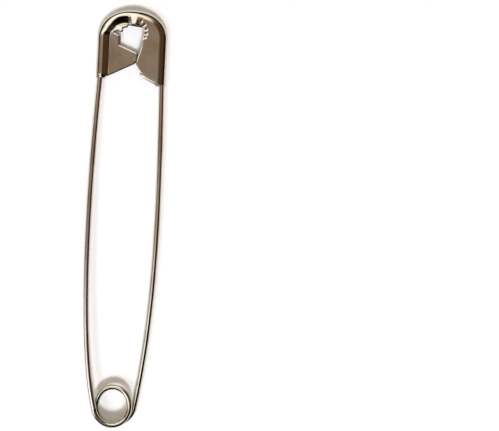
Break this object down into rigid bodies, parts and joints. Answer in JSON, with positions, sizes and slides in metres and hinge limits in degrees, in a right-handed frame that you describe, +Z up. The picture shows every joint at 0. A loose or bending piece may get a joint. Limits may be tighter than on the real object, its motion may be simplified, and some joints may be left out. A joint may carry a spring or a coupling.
{
  "type": "safety pin",
  "caption": "Large safety pin: one bent spring wire with a coiled eye and a ground point, closed into a folded sheet-metal cap whose guard hides the point.",
  "frame": {"origin": "centre of the bounding box in plan, on the surface the closed pin lies on", "axes": "+Y along the pin from the coil to the cap, +X from the fixed arm to the pin arm, +Z up out of the surface, towards the side on which the guard's front lip is seen"},
  "size_m": [0.0182, 0.1044, 0.0038],
  "materials": {
    "cap_nickel": "polished nickel plate on folded steel sheet",
    "wire_nickel": "bright nickel plate on drawn spring-steel wire"
  },
  "bodies": {
    "frame": {"cap": "cap_nickel", "fixed_arm": "wire_nickel"},
    "coil": {"coil_spring": "wire_nickel"},
    "pin_arm": {"pin_arm": "wire_nickel"}
  },
  "joints": [
    {"name": "pin_arm_swing", "type": "hinge", "parent": "frame", "child": "coil", "pos_m": [-0.00022, -0.04687, 0.00065], "axis": [0, 0, -1], "range_deg": [0, 50], "deforming": ["coil_spring"]},
    {"name": "pin_arm_unclasp", "type": "hinge", "parent": "coil", "child": "pin_arm", "pos_m": [-0.00022, -0.04687, 0.00065], "axis": [0.2079, 0, 0.9781], "range_deg": [0, 9.5], "stiffness_Nm_per_rad": 0.28}
  ]
}
